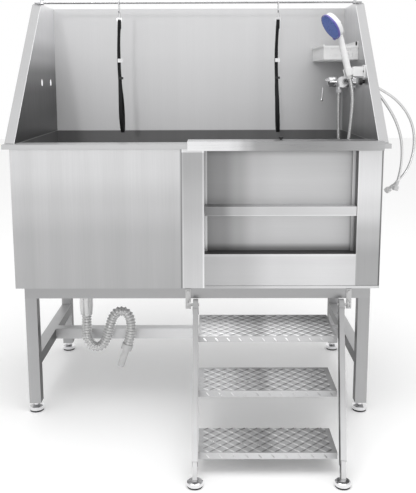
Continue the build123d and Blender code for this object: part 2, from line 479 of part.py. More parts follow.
# ---------------------------------------------------------------- soap basket
X0, X1, Y0, Y1, Z0, Z1 = 469.0, BX - 0.5, 30.0, 329.0, 1224.0, 1279.0
w = 3.0
bk = [box(X0, X1, Y0, Y1, Z0, Z0 + w)]
for i in range(9):
    for j in range(3):
        cxx, cyy = X0 + 22 + j * 42, Y0 + 30 + i * 30
        bk[0] -= box(cxx - 15, cxx + 15, cyy - 8, cyy + 8, Z0 - 1, Z0 + w + 1)
side = box(X0, X0 + w, Y0, Y1, Z0 + w, Z1)
front = box(X0 + w, X1, Y0, Y0 + w, Z0 + w, Z1 - 4)
nx, nz = 5, 2
for i in range(nx):
    for k in range(nz):
        a0 = X0 + 13 + i * 23.0
        z0 = Z0 + 10 + k * 20.0
        front -= box(a0, a0 + 17.0, Y0 - 1, Y0 + w + 1, z0, z0 + 13.0)
for i in range(12):
    side -= box(X0 - 1, X0 + w + 1, Y0 + 18 + i * 23.5, Y0 + 22 + i * 23.5, Z0 + 14, Z1 - 12)
rear = box(X0 + w, X1, Y1 - w, Y1, Z0 + w, Z1)
backp = box(X1 - w, X1, Y0 + w, Y1 - w, Z0 + w, Z1 + 12)
rims = box(X0 - 3, X0, Y0 - 3, Y1, Z1 - 8, Z1)
rims2 = box(X0, X1, Y0 - 3, Y0, Z1 - 12, Z1 - 4)
save("soap_basket", bk[0], side, front, rear, backp, rims, rims2)
screws = []
for y in (48.0, 300.0):
    screws.append(rod((X1 - w - 4, y, Z1 + 4), (X1 - w, y, Z1 + 4), 7.5))
for y in (-103.5, -66.5):
    screws.append(rod((BX - 8, y, 1179.0), (BX - 6, y, 1179.0), 3.5))
save("wall_fasteners", *nuts, *screws)

# ---------------------------------------------------------------- grooming loops
# Snap hook on the bar, webbing from its eye through a slider and a ring into a noose.
def loop(tag, hx, lean_x):
    top = BAR_Z
    # hook: an open loop over the bar, a stem and an eye with a flat crossbar
    r0, wire = 11.0, 2.6
    zc = top + BAR_R + 0.4 + wire - r0        # centre of the top bend, hook rests on the bar
    arc = Pos(hx, BAR_Y, zc) * Rot(0, 90, 0) * Torus(r0, wire)
    half_top = arc & box(hx - 20, hx + 20, BAR_Y - 30, BAR_Y + 30, zc, zc + 40)
    back = rod((hx, BAR_Y + r0, zc), (hx, BAR_Y + r0, zc - 26), wire)
    gate = rod((hx, BAR_Y - r0, zc), (hx, BAR_Y - r0, zc - 26), wire - 0.6)
    low = Pos(hx, BAR_Y, zc - 26) * Rot(0, 90, 0) * Torus(r0, wire)
    low = low & box(hx - 20, hx + 20, BAR_Y - 30, BAR_Y + 30, zc - 66, zc - 26)
    barrel = rod((hx, BAR_Y, zc - 26 - r0 + 1), (hx, BAR_Y, zc - 26 - r0 - 19), 5.0)
    ez = zc - 26 - r0 - 19                      # eye below the barrel
    eye_w, eye_h = 20.0, 13.0
    eye = box(hx - eye_w / 2, hx + eye_w / 2, BAR_Y - 2, BAR_Y + 2, ez - eye_h, ez) \
        - box(hx - eye_w / 2 + 3, hx + eye_w / 2 - 3, BAR_Y - 4, BAR_Y + 4, ez - eye_h + 3, ez - 3)
    save(f"loop_{tag}_hook", half_top + back + gate + low + barrel + eye)
    bar_z = ez - eye_h + 1.5                   # crossbar that carries the webbing
    # webbing: flat strap, swept in a plane turned a little about Z
    tw = math.radians(0.0 * lean_x)
    def at(s, z, dx=0.0):
        """Point at s along the noose's width."""
        return (hx + dx - s * math.sin(tw), BAR_Y + s * math.cos(tw), z)
    z_ring, z_slide = 1158.0, 1225.0
    strap_top = bar_z - 1.5
    W, T = 13.0, 2.0
    pts = [at(0, strap_top - 1.2), at(0, z_ring - 8), at(-9, 1122), at(-27, 1072), at(-37, 1013), at(-26, 962), at(0, 945), at(27, 962), at(38, 1013),
           at(28, 1072), at(10, 1122), at(2.4, z_ring - 8), at(2.4, z_ring + 7)]
    return pts, (W, T), z_ring, z_slide, tw, bar_z

LOOP_INFO = {}
for tag, (hx, sgn) in LOOPS.items():
    LOOP_INFO[tag] = (hx,) + loop(tag, hx, sgn)

def web(points, w, t, tw, name):
    """Flat webbing: straight runs joined by tangent arcs, in one upright plane."""
    P = [V(*q) for q in points]
    runs = [(b - a).length for a, b in zip(P, P[1:])]
    radii = []
    for i in range(1, len(P) - 1):
        turn = (P[i] - P[i - 1]).get_angle(P[i + 1] - P[i])
        radii.append(0.45 * min(runs[i - 1], runs[i]) / math.tan(math.radians(turn) / 2))
    line = FilletPolyline(*P, radius=radii)
    start = Plane(origin=P[0], x_dir=(math.cos(tw), math.sin(tw), 0), z_dir=(P[1] - P[0]).normalized())
    s = sweep(start * Rectangle(w, t), path=line)
    print(name, "length %.0f" % line.length, "radii/width", [round(q / w, 1) for q in radii], "runs", [round(q) for q in runs],
          "volume ratio %.4f" % (s.volume / (w * t * line.length)))
    return s

for tag, (hx, pts, (W, T), z_ring, z_slide, tw, bar_z) in LOOP_INFO.items():
    print("eye crossbar", tag, round(bar_z, 2), "strap starts", [round(v, 1) for v in pts[0]])
    save(f"loop_{tag}_strap", web(pts, W, T, tw, f"loop_{tag}_strap"))
    # ring at the noose's neck: flat frame round both thicknesses of webbing
    def frame_at(z, h, gy, depth):
        pl = Plane(origin=(hx, BAR_Y, z), x_dir=(math.cos(tw), math.sin(tw), 0), z_dir=(0, 0, 1))
        out = pl * (Pos(0, gy, 0) * Box(W + 6, depth + 4.0, h))
        hole = pl * (Pos(0, gy, 0) * Box(W + 0.8, depth, h + 2))
        return out - hole
    save(f"loop_{tag}_slider", frame_at(z_slide, 14.0, 0.0, 3.2))
    save(f"loop_{tag}_ring", frame_at(z_ring, 9.0, 1.2, 6.2))

# ---------------------------------------------------------------- supply hoses
UP = [(BX + 28.8, 235, HOLE_Z), (664, 235, 1140.6), (702, 236, 1128), (742, 236, 1106), (784, 235, 1080), (822, 232, 1044), (851, 229, 1001), (868, 226, 957), (874, 222, 910), (872, 219, 862),
      (861, 216, 817), (841, 211, 775), (809, 219, 735), (785, 244.5, 704)]
LOW = [(BX + 29.2, 85, HOLE_Z), (650, 85, 1138), (676, 85, 1113), (700, 85, 1085), (725, 86, 1052), (750, 87, 1014), (771, 89, 971), (786, 92, 925), (793, 95, 874), (793, 98, 823), (787, 101, 776), (777, 104, 736)]
save("supply_hose_hot", route(UP, 5.5, "supply_hose_hot"))
save("supply_hose_cold", route(LOW, 5.5, "supply_hose_cold"))
nn = []
for pts in (UP, LOW):
    a, b = V(*pts[-2]), V(*pts[-1])
    d = (b - a).normalized()
    nn.append(rod(tuple(b - d * 22), tuple(b), 7.6) - rod(tuple(b - d * 30), tuple(b + d * 9), 5.6))
    nn.append(hexbar(tuple(b), tuple(b + d * 17), 23.0) - rod(tuple(b + d * 3), tuple(b + d * 30), 9.3))
save("supply_hose_nuts", *nn)

if __name__ == "__main__":
    def metres(name, pts):
        print(name, [tuple(round(v, 4) for v in (p[0] / 1000, (p[1] + SHIFT_Y) / 1000, p[2] / 1000)) for p in pts])
    for pts in (UP, LOW):
        a, b = V(*pts[-2]), V(*pts[-1])
        d = (b - a).normalized()
        print("nut mouth", [round(v, 4) for v in ((b + d * 10) + V(0, SHIFT_Y, 0)) * 0.001], "axis", [round(v, 4) for v in d])
    print("spigot", [round(v, 4) for v in (e1 + ed * 52.5 + V(0, SHIFT_Y, 0)) * 0.001], "axis", [round(v, 4) for v in ed])
    print("handle axis", [round(v, 5) for v in hd], "head", [round(v, 4) for v in (HEAD + V(0, SHIFT_Y, 0)) * 0.001], "normal", [round(v, 5) for v in face_n])
    print("stiles", [[round(v, 5) for v in stile_dir(i)[1]] for i in (0, 1)], "pivot", P, "lever", AX, AZ)
    metres("DRAIN", DRAIN)
    metres("SHOWER", SHOWER)
    metres("UP", UP)
    metres("LOW", LOW)
    for tag in LOOP_INFO:
        metres("STRAP_" + tag, LOOP_INFO[tag][1])
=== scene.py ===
import math

import bpy
import numpy as np
from mathutils import Matrix, Vector

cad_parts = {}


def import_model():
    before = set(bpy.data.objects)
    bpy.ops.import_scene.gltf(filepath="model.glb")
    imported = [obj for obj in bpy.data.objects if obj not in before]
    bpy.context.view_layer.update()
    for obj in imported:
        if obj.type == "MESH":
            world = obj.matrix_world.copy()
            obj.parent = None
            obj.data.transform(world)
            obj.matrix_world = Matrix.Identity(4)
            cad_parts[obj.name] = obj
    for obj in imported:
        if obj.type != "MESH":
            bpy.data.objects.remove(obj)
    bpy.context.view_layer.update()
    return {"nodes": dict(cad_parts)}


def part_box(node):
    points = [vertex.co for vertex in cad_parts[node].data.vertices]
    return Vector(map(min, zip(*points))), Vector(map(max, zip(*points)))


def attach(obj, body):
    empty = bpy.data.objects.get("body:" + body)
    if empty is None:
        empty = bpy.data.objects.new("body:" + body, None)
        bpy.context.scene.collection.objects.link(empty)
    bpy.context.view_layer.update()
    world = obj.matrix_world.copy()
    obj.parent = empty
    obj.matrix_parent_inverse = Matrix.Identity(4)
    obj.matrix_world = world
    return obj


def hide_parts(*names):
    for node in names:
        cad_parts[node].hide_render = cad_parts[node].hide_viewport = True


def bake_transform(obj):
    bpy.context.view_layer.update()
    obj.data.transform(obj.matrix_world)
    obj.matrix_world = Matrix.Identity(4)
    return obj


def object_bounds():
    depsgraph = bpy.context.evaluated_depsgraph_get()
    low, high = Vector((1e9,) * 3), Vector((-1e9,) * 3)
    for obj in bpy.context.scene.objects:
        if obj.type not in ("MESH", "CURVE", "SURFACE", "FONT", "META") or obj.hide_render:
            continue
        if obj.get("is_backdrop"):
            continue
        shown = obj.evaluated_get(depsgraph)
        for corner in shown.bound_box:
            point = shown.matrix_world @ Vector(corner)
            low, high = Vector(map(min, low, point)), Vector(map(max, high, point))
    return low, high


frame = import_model()
N = frame["nodes"]
S = bpy.context.scene
S.view_settings.view_transform = "Standard"
S.view_settings.look = "None"
SY = 0.227                 # the working frame's shift along Y, in metres

# ------------------------------------------------------------------ camera
cam_data = bpy.data.cameras.new("camera")
cam = bpy.data.objects.new("camera", cam_data)
S.collection.objects.link(cam)
cam_data.sensor_width = 36.0
cam_data.sensor_fit = "AUTO"
cam_data.lens = 52.61
cam_data.shift_x = 0.0
cam_data.shift_y = -0.0943
cam_data.clip_end = 100
p, yaw, roll = math.radians(9.42), math.radians(-0.27), math.radians(-0.17)
fwd = Vector((math.sin(yaw) * math.cos(p), math.cos(yaw) * math.cos(p), -math.sin(p)))
rgt = Vector((math.cos(yaw), -math.sin(yaw), 0))
up = rgt.cross(fwd)
r_ = rgt * math.cos(roll) + up * math.sin(roll)
u_ = -rgt * math.sin(roll) + up * math.cos(roll)
cam.matrix_world = Matrix.Translation((0.049, -2.70885 + SY, 1.14837)) @ Matrix((r_, u_, -fwd)).transposed().to_4x4()
S.camera = cam


# ------------------------------------------------------------------ node helpers
def lin(v):
    v = v / 255.0
    return v / 12.92 if v <= 0.04045 else ((v + 0.055) / 1.055) ** 2.4


def new_mat(name, rough=0.4, metal=0.0, color=(0.5, 0.5, 0.5), spec=None, coat=None, aniso=None, ior=None):
    m = bpy.data.materials.new(name)
    m.use_nodes = True
    nt = m.node_tree
    b = nt.nodes["Principled BSDF"]
    b.inputs["Base Color"].default_value = (*color, 1)
    b.inputs["Roughness"].default_value = rough
    b.inputs["Metallic"].default_value = metal
    if spec is not None:
        b.inputs["Specular IOR Level"].default_value = spec
    if coat is not None:
        b.inputs["Coat Weight"].default_value = coat
        b.inputs["Coat Roughness"].default_value = 0.08
    if aniso is not None:
        b.inputs["Anisotropic"].default_value = aniso
    return m, nt, b


def position(nt, axis):
    tc = nt.nodes.new("ShaderNodeTexCoord")
    if axis is None:
        return tc.outputs["Object"]
    sx = nt.nodes.new("ShaderNodeSeparateXYZ")
    nt.links.new(tc.outputs["Object"], sx.inputs[0])
    return sx.outputs["XYZ".index(axis)]


def ramp_along(nt, axis, stops):
    """Grey ramp by position. stops: [(metres, sRGB grey 0-255)], rising."""
    lo, hi = stops[0][0], stops[-1][0]
    mr = nt.nodes.new("ShaderNodeMapRange")
    mr.inputs["From Min"].default_value = lo
    mr.inputs["From Max"].default_value = hi
    nt.links.new(position(nt, axis), mr.inputs["Value"])
    cr = nt.nodes.new("ShaderNodeValToRGB")
    cr.color_ramp.interpolation = "EASE"
    el = cr.color_ramp.elements
    while len(el) < len(stops):
        el.new(0.5)
    for e, (v, g) in zip(el, stops):
        e.position = (v - lo) / (hi - lo)
        c = lin(g)
        e.color = (c, c, c * 1.01, 1)
    nt.links.new(mr.outputs[0], cr.inputs[0])
    return cr.outputs[0]


def noise(nt, scale, detail=3.0, rough=0.6, factor=1.0):
    mp = nt.nodes.new("ShaderNodeMapping")
    mp.inputs["Scale"].default_value = scale
    nt.links.new(position(nt, None), mp.inputs["Vector"])
    nz = nt.nodes.new("ShaderNodeTexNoise")
    nz.inputs["Scale"].default_value = factor
    nz.inputs["Detail"].default_value = detail
    nz.inputs["Roughness"].default_value = rough
    nt.links.new(mp.outputs[0], nz.inputs["Vector"])
    return nz.outputs["Fac"]


def remap(nt, value, a, b, c, d):
    mr = nt.nodes.new("ShaderNodeMapRange")
    for k, v in zip(("From Min", "From Max", "To Min", "To Max"), (a, b, c, d)):
        mr.inputs[k].default_value = v
    nt.links.new(value, mr.inputs["Value"])
    return mr.outputs[0]


def times(nt, color, fac):
    mx = nt.nodes.new("ShaderNodeMix")
    mx.data_type = "RGBA"
    mx.blend_type = "MULTIPLY"
    mx.inputs["Factor"].default_value = 1.0
    nt.links.new(color, mx.inputs["A"])
    cb = nt.nodes.new("ShaderNodeCombineColor")
    for k in range(3):
        nt.links.new(fac, cb.inputs[k])
    nt.links.new(cb.outputs[0], mx.inputs["B"])
    return mx.outputs["Result"]


GRAIN = {"Z": (420.0, 420.0, 5.0), "X": (5.0, 420.0, 420.0), "Y": (420.0, 5.0, 420.0)}


def steel(name, stops, axis="Z", grain="Z", rough=0.36, metal=0.9, depth=0.05, bands=0.05, painted_light_ramps=None):
    """Brushed stainless: base grey by position, which carries painted light and shade; painted_light_ramps multiply in
    painted highlight lines and painted shade; fine streaks along one axis, wide soft bands, bump.
    """
    m, nt, b = new_mat(name, rough, metal, spec=0.5)
    col = ramp_along(nt, axis, stops)
    for ax2, st2 in (painted_light_ramps or []):
        lo, hi = st2[0][0], st2[-1][0]
        mr = nt.nodes.new("ShaderNodeMapRange")
        mr.inputs["From Min"].default_value = lo
        mr.inputs["From Max"].default_value = hi
        nt.links.new(position(nt, ax2), mr.inputs["Value"])
        cr = nt.nodes.new("ShaderNodeValToRGB")
        cr.color_ramp.interpolation = "LINEAR"
        el = cr.color_ramp.elements
        while len(el) < len(st2):
            el.new(0.5)
        for e, (v, f) in zip(el, st2):
            e.position = (v - lo) / (hi - lo)
            e.color = (f / 1.5, f / 1.5, f / 1.5, 1)
        nt.links.new(mr.outputs[0], cr.inputs[0])
        sep = nt.nodes.new("ShaderNodeSeparateColor")
        nt.links.new(cr.outputs[0], sep.inputs[0])
        mu = nt.nodes.new("ShaderNodeMath")
        mu.operation = "MULTIPLY"
        mu.inputs[1].default_value = 1.5
        nt.links.new(sep.outputs[0], mu.inputs[0])
        col = times(nt, col, mu.outputs[0])
    fine = noise(nt, GRAIN[grain], 4.0, 0.65)
    g3 = tuple(v * 0.045 for v in GRAIN[grain])
    wide = noise(nt, g3, 2.0, 0.5)
    col = times(nt, col, remap(nt, fine, 0.3, 0.7, 1 - depth, 1 + depth))
    col = times(nt, col, remap(nt, wide, 0.3, 0.7, 1 - bands, 1 + bands))
    nt.links.new(col, b.inputs["Base Color"])
    nt.links.new(remap(nt, fine, 0.3, 0.7, rough - 0.05, rough + 0.06), b.inputs["Roughness"])
    bp = nt.nodes.new("ShaderNodeBump")
    bp.inputs["Strength"].default_value = 0.06
    bp.inputs["Distance"].default_value = 0.0006
    nt.links.new(fine, bp.inputs["Height"])
    nt.links.new(bp.outputs[0], b.inputs["Normal"])
    return m


def plastic(name, color, rough=0.35, var=0.04, scale=40.0, coat=None, metal=0.0):
    m, nt, b = new_mat(name, rough, metal, color, coat=coat)
    rgb = nt.nodes.new("ShaderNodeRGB")
    rgb.outputs[0].default_value = (*color, 1)
    nz = noise(nt, (scale,) * 3, 3.0, 0.5)
    nt.links.new(times(nt, rgb.outputs[0], remap(nt, nz, 0.3, 0.7, 1 - var, 1 + var)), b.inputs["Base Color"])
    nt.links.new(remap(nt, nz, 0.3, 0.7, max(0.02, rough - 0.04), rough + 0.05), b.inputs["Roughness"])
    return m


# ------------------------------------------------------------------ mesh helpers
def obj(name, verts, faces, mat, body=None, smooth=False, autosmooth=None):
    me = bpy.data.meshes.new(name)
    me.from_pydata([tuple(v) for v in verts], [], faces)
    me.validate()
    me.update()
    o = bpy.data.objects.new(name, me)
    S.collection.objects.link(o)
    for mm in (mat if isinstance(mat, (list, tuple)) else [mat]):
        me.materials.append(mm)
    if smooth:
        for f in me.polygons:
            f.use_smooth = True
    if body:
        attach(o, body)
    return o


def nurbs(points, res=12):
    """Points read from the order-3 NURBS spline through a route's control points."""
    cu = bpy.data.curves.new("route", "CURVE")
    cu.dimensions = "3D"
    sp = cu.splines.new("NURBS")
    sp.points.add(len(points) - 1)
    for q, c in zip(sp.points, points):
        q.co = (*c, 1)
    sp.order_u = 3
    sp.use_endpoint_u = True
    sp.resolution_u = res
    o = bpy.data.objects.new("route", cu)
    S.collection.objects.link(o)
    bpy.context.view_layer.update()
    me = bpy.data.meshes.new_from_object(o)
    pts = [v.co.copy() for v in me.vertices]
    bpy.data.objects.remove(o)
    bpy.data.meshes.remove(me)
    return pts


def resample(pts, step):
    """The same line at an even spacing."""
    d = [0.0]
    for a, b in zip(pts, pts[1:]):
        d.append(d[-1] + (b - a).length)
    n = max(2, int(round(d[-1] / step)))
    out, j = [], 0
    for k in range(n + 1):
        t = d[-1] * k / n
        while j < len(d) - 2 and d[j + 1] < t:
            j += 1
        f = (t - d[j]) / max(1e-12, d[j + 1] - d[j])
        out.append(pts[j].lerp(pts[j + 1], min(1, max(0, f))))
    return out, d[-1]


def frames(pts, first=None):
    """Tangent, side and up at each point, carried along without twist."""
    T = [(pts[min(i + 1, len(pts) - 1)] - pts[max(i - 1, 0)]).normalized() for i in range(len(pts))]
    side = first if first is not None else T[0].orthogonal().normalized()
    out = []
    for t in T:
        side = (side - t * side.dot(t)).normalized()
        out.append((t, side, t.cross(side).normalized()))
    return out


def tube(name, pts, radius, mat, body, seg=20, first=None, cap=True):
    """Round tube along pts; radius is a number or one per point."""
    fr = frames(pts, first)
    V, F = [], []
    for i, (q, (t, s, w)) in enumerate(zip(pts, fr)):
        r = radius[i] if isinstance(radius, (list, tuple)) else radius
        for k in range(seg):
            a = 2 * math.pi * k / seg
            V.append(q + s * (r * math.cos(a)) + w * (r * math.sin(a)))
    for i in range(len(pts) - 1):
        for k in range(seg):
            a, b = i * seg + k, i * seg + (k + 1) % seg
            F.append((a, b, b + seg, a + seg))
    if cap:
        F.append(tuple(range(seg - 1, -1, -1)))
        F.append(tuple((len(pts) - 1) * seg + k for k in range(seg)))
    return obj(name, V, F, mat, body, smooth=True)


def bevel(o, width, segments=2, angle=35):
    m = o.modifiers.new("edge", "BEVEL")
    m.width = width
    m.segments = segments
    m.limit_method = "ANGLE"
    m.angle_limit = math.radians(angle)
    m.harden_normals = False
    return m


# ------------------------------------------------------------------ hoses and straps
DRAIN = [(-0.42, 0.117, 0.3171), (-0.42, 0.117, 0.248), (-0.423, 0.117, 0.19), (-0.398, 0.117, 0.156), (-0.366, 0.117, 0.156), (-0.345, 0.117, 0.194), (-0.333, 0.117, 0.24),
         (-0.322, 0.117, 0.275), (-0.303, 0.117, 0.296), (-0.272, 0.117, 0.294), (-0.256, 0.117, 0.268), (-0.254, 0.117, 0.232), (-0.257, 0.117, 0.198), (-0.2676, 0.117, 0.1667)]
SHOWER = [(0.552, 0.387, 1.1), (0.552, 0.387, 1.01), (0.556, 0.389, 0.92), (0.56, 0.39, 0.825), (0.558, 0.389, 0.73), (0.549, 0.382, 0.64), (0.532, 0.359, 0.56),
          (0.512, 0.319, 0.506), (0.497, 0.263, 0.4976), (0.494, 0.203, 0.5), (0.506, 0.161, 0.552), (0.521, 0.145, 0.64), (0.533, 0.14, 0.735), (0.541, 0.141, 0.835),
          (0.549, 0.143, 0.93), (0.558, 0.144, 1.012), (0.5609, 0.1429, 1.1056), (0.5475, 0.142, 1.1539)]
UP = [(0.6268, 0.462, 1.142), (0.664, 0.462, 1.1406), (0.702, 0.463, 1.128), (0.742, 0.463, 1.106), (0.784, 0.462, 1.08), (0.822, 0.459, 1.044), (0.851, 0.456, 1.001),
      (0.868, 0.453, 0.957), (0.874, 0.449, 0.91), (0.872, 0.446, 0.862), (0.861, 0.443, 0.817), (0.841, 0.438, 0.775), (0.809, 0.446, 0.735), (0.785, 0.4715, 0.704)]
LOW = [(0.6272, 0.312, 1.142), (0.65, 0.312, 1.138), (0.676, 0.312, 1.113), (0.7, 0.312, 1.085), (0.725, 0.313, 1.052), (0.75, 0.314, 1.014), (0.771, 0.316, 0.971),
       (0.786, 0.319, 0.925), (0.793, 0.322, 0.874), (0.793, 0.325, 0.823), (0.787, 0.328, 0.776), (0.777, 0.331, 0.736)]
STRAPS = {
    "left": [(-0.301, 0.345, 1.3708), (-0.306, 0.345, 1.30), (-0.306, 0.345, 1.20), (-0.3035, 0.345, 1.15), (-0.303, 0.336, 1.122), (-0.301, 0.318, 1.072), (-0.3, 0.308, 1.013),
             (-0.297, 0.319, 0.962), (-0.2965, 0.345, 0.945), (-0.297, 0.372, 0.962), (-0.298, 0.383, 1.013), (-0.2995, 0.373, 1.072), (-0.303, 0.355, 1.122), (-0.3035, 0.3474, 1.15), (-0.3035, 0.3474, 1.165)],
    "right": [(0.305, 0.345, 1.3708), (0.3, 0.345, 1.30), (0.3, 0.345, 1.20), (0.3025, 0.345, 1.15), (0.303, 0.336, 1.122), (0.305, 0.318, 1.072), (0.306, 0.308, 1.013),
              (0.309, 0.319, 0.962), (0.3095, 0.345, 0.945), (0.309, 0.372, 0.962), (0.308, 0.383, 1.013), (0.3065, 0.373, 1.072), (0.303, 0.355, 1.122), (0.3025, 0.3474, 1.15), (0.3025, 0.3474, 1.165)]}
TWIST = {"left": 0.0, "right": 0.0}
DRAIN_R, SHOWER_R, SUPPLY_R, WEB_W, WEB_T = 0.019, 0.007, 0.0055, 0.013, 0.002

m_corrug = plastic("corrugated_plastic", (lin(218),) * 3, 0.22, 0.05, 60, metal=0.5, coat=0.5)
m_web, nt, b = new_mat("nylon_webbing", 0.75, 0.0, (0.012, 0.012, 0.013), spec=0.25)
wv = nt.nodes.new("ShaderNodeTexWave")
wv.wave_type = "BANDS"
wv.bands_direction = "Z"
wv.inputs["Scale"].default_value = 260.0
wv.inputs["Distortion"].default_value = 1.2
nt.links.new(position(nt, None), wv.inputs["Vector"])
rgbw = nt.nodes.new("ShaderNodeRGB")
rgbw.outputs[0].default_value = (0.011, 0.011, 0.012, 1)
nt.links.new(times(nt, rgbw.outputs[0], remap(nt, wv.outputs["Fac"], 0, 1, 0.7, 1.5)), b.inputs["Base Color"])
bw = nt.nodes.new("ShaderNodeBump")
bw.inputs["Strength"].default_value = 0.5
bw.inputs["Distance"].default_value = 0.0004
nt.links.new(wv.outputs["Fac"], bw.inputs["Height"])
nt.links.new(bw.outputs[0], b.inputs["Normal"])
m_hose_steel = plastic("spiral_steel", (lin(226),) * 3, 0.2, 0.05, 300, metal=0.75)
m_hose_white = plastic("braided_hose", (lin(228),) * 3, 0.22, 0.10, 600, metal=0.85)


def corrugated(name, route, r_out, r_in, pitch, mat, body, seg=28, plain_head=0.0):
    pts = nurbs(route, 16)
    fine, length = resample(pts, pitch / 6)
    rad = []
    for i in range(len(fine)):
        s = length * i / (len(fine) - 1)
        w = 0.5 + 0.5 * math.cos(2 * math.pi * s / pitch)
        w = w ** 1.3
        rad.append(r_in + (r_out - r_in) * w if s > plain_head else r_in + 0.0004)
    return tube(name, fine, rad, mat, body, seg), pts, length


drain, dpts, dlen = corrugated("drain_hose_ribbed", DRAIN, DRAIN_R, DRAIN_R - 0.0046, 0.0106, m_corrug, "tub")
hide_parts("drain_hose")

# Shower hose: interlocked spiral, drawn as close rounded turns.
spts = nurbs(SHOWER, 16)
sfine, slen = resample(spts, 0.00065)
srad = [SHOWER_R - 0.0005 * abs(math.sin(math.pi * (slen * i / (len(sfine) - 1)) / 0.0026)) ** 3 for i in range(len(sfine))]
shower = tube("shower_hose_spiral", sfine, srad, m_hose_steel, None, 14)
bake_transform(shower)
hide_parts("shower_hose")

for tag, route in (("hot", UP), ("cold", LOW)):
    pts = nurbs(route, 16)
    fine, ln = resample(pts, 0.002)
    o = tube(f"supply_hose_{tag}_braid", fine, SUPPLY_R, m_hose_white, "tub", 18)
    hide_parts(f"supply_hose_{tag}")

for tag, route in STRAPS.items():
    pts = nurbs(route, 14)
    fine, ln = resample(pts, 0.004)
    wd = Vector((math.cos(TWIST[tag]), math.sin(TWIST[tag]), 0))
    fr = frames(fine, wd)
    V, F = [], []
    prof = [(-1, -0.55), (-0.94, -1), (0.94, -1), (1, -0.55), (1, 0.55), (0.94, 1), (-0.94, 1), (-1, 0.55)]
    n = len(prof)
    for i, (q, (t, s, w)) in enumerate(zip(fine, fr)):
        z = q.z
        yaw_ = 0.0
        if z > 1.24 and i < len(fine) // 2:                       # the standing part turns a little between hook, slider and ring
            k = (z - 1.24) / (1.3708 - 1.24)
            yaw_ = math.radians(26) * math.sin(math.pi * k) * (1 if tag == "left" else -1)
        s2 = (Matrix.Rotation(yaw_, 3, t) @ s)
        w2 = t.cross(s2)
        for (a, c) in prof:
            V.append(q + s2 * (a * WEB_W / 2) + w2 * (c * WEB_T / 2))
    for i in range(len(fine) - 1):
        for k in range(n):
            a, b2 = i * n + k, i * n + (k + 1) % n
            F.append((a, b2, b2 + n, a + n))
    F.append(tuple(range(n - 1, -1, -1)))
    F.append(tuple((len(fine) - 1) * n + k for k in range(n)))
    o = obj(f"loop_{tag}_web", V, F, m_web, f"loop_{tag}_strap")
    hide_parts(f"loop_{tag}_strap")
    # folded end round the hook's eye, with its stitched tail
    hx = route[0][0]
    fold = []
    yc, zc, rr = route[0][1], 1.3735, 0.0034
    prof2 = [(yc + 0.0006, zc - 0.030), (yc + 0.0021, zc - 0.024), (yc + 0.0030, zc - 0.008)]
    prof2 += [(yc + rr * math.cos(a), zc + rr * math.sin(a)) for a in [math.radians(v) for v in range(-30, 211, 20)]]
    prof2 += [(yc - 0.0030, zc - 0.008), (yc - 0.0021, zc - 0.024), (yc - 0.0006, zc - 0.030)]
    Vf, Ff = [], []
    th = 0.0006
    for j, (yy, zz) in enumerate(prof2):
        ya, za = prof2[max(0, j - 1)]
        yb, zb = prof2[min(len(prof2) - 1, j + 1)]
        nn = Vector((0, -(zb - za), (yb - ya))).normalized()
        for sx in (-1, 1):
            for sg in (-1, 1):
                Vf.append((hx + sx * 0.0062, yy + nn.y * th * sg, zz + nn.z * th * sg))
    for j in range(len(prof2) - 1):
        a = j * 4
        for (c0, c1) in ((0, 1), (1, 3), (3, 2), (2, 0)):
            Ff.append((a + c0, a + c1, a + 4 + c1, a + 4 + c0))
    Ff.append((0, 2, 3, 1))
    e = (len(prof2) - 1) * 4
    Ff.append((e, e + 1, e + 3, e + 2))
    fo = obj(f"loop_{tag}_fold", Vf, Ff, m_web, f"loop_{tag}_strap")

# ------------------------------------------------------------------ steel and other finishes
# Front panel: painted light, lighter towards the top; the dip at X -0.0545..-0.0495 is a painted shadow line along the
# seam.
m_panel = steel("steel_front", [(0.45, 172), (0.62, 176), (0.74, 190), (0.86, 205), (0.944, 210)], depth=0.035, bands=0.035,
                painted_light_ramps=[("X", [(-0.64, 1.0), (-0.0545, 1.0), (-0.0535, 0.5), (-0.0495, 0.5)])])
# Painted light: the outer panels are a little lighter towards the top.
m_plain = steel("steel_plain", [(0.0, 178), (0.9, 186), (1.45, 196)])
# Back wall: painted shade, darker towards the right-hand corner.
m_wall = steel("steel_back_wall", [(0.944, 222), (1.2, 219), (1.38, 216), (1.44, 218)], depth=0.02, bands=0.015,
               rough=0.5, metal=0.35, painted_light_ramps=[("X", [(-0.6, 1.0), (0.30, 1.0), (0.46, 0.92), (0.6, 0.72)])])
# Inner splash walls: painted shade and painted reflection; the left is dark low down and bright at the top, the right
# lighter towards the top.
m_left_in = steel("steel_left_inner", [(0.944, 104), (1.02, 84), (1.10, 96), (1.17, 138), (1.24, 200), (1.32, 240), (1.44, 252)], depth=0.02, bands=0.02)
m_right_in = steel("steel_right_inner", [(0.944, 156), (1.02, 172), (1.12, 192), (1.20, 190), (1.28, 206), (1.36, 228), (1.44, 240)], depth=0.03, bands=0.06)
m_flange = steel("steel_flange", [(0.944, 172), (1.2, 168), (1.44, 172)], depth=0.02, bands=0.01, metal=0.35, rough=0.5)
# Basin: painted shade, darker towards the rim.
m_basin = steel("steel_basin", [(0.48, 170), (0.60, 156), (0.80, 134), (0.90, 120), (0.944, 116)], depth=0.04, bands=0.05, metal=0.6, rough=0.45)
m_rim = steel("steel_rim", [(-0.64, 192), (0.0, 192), (0.64, 190)], axis="X", grain="X", depth=0.02, bands=0.02, metal=0.6, rough=0.35)
# Door cap: painted reflection, bright at the left end, dipping to a darker band and lighter again at the right.
m_cap = steel("steel_cap", [(-0.03, 228), (0.10, 226), (0.13, 216), (0.165, 188), (0.20, 162), (0.35, 152), (0.45, 156), (0.53, 168), (0.62, 184)], axis="X", grain="X", depth=0.02, bands=0.03, rough=0.3)
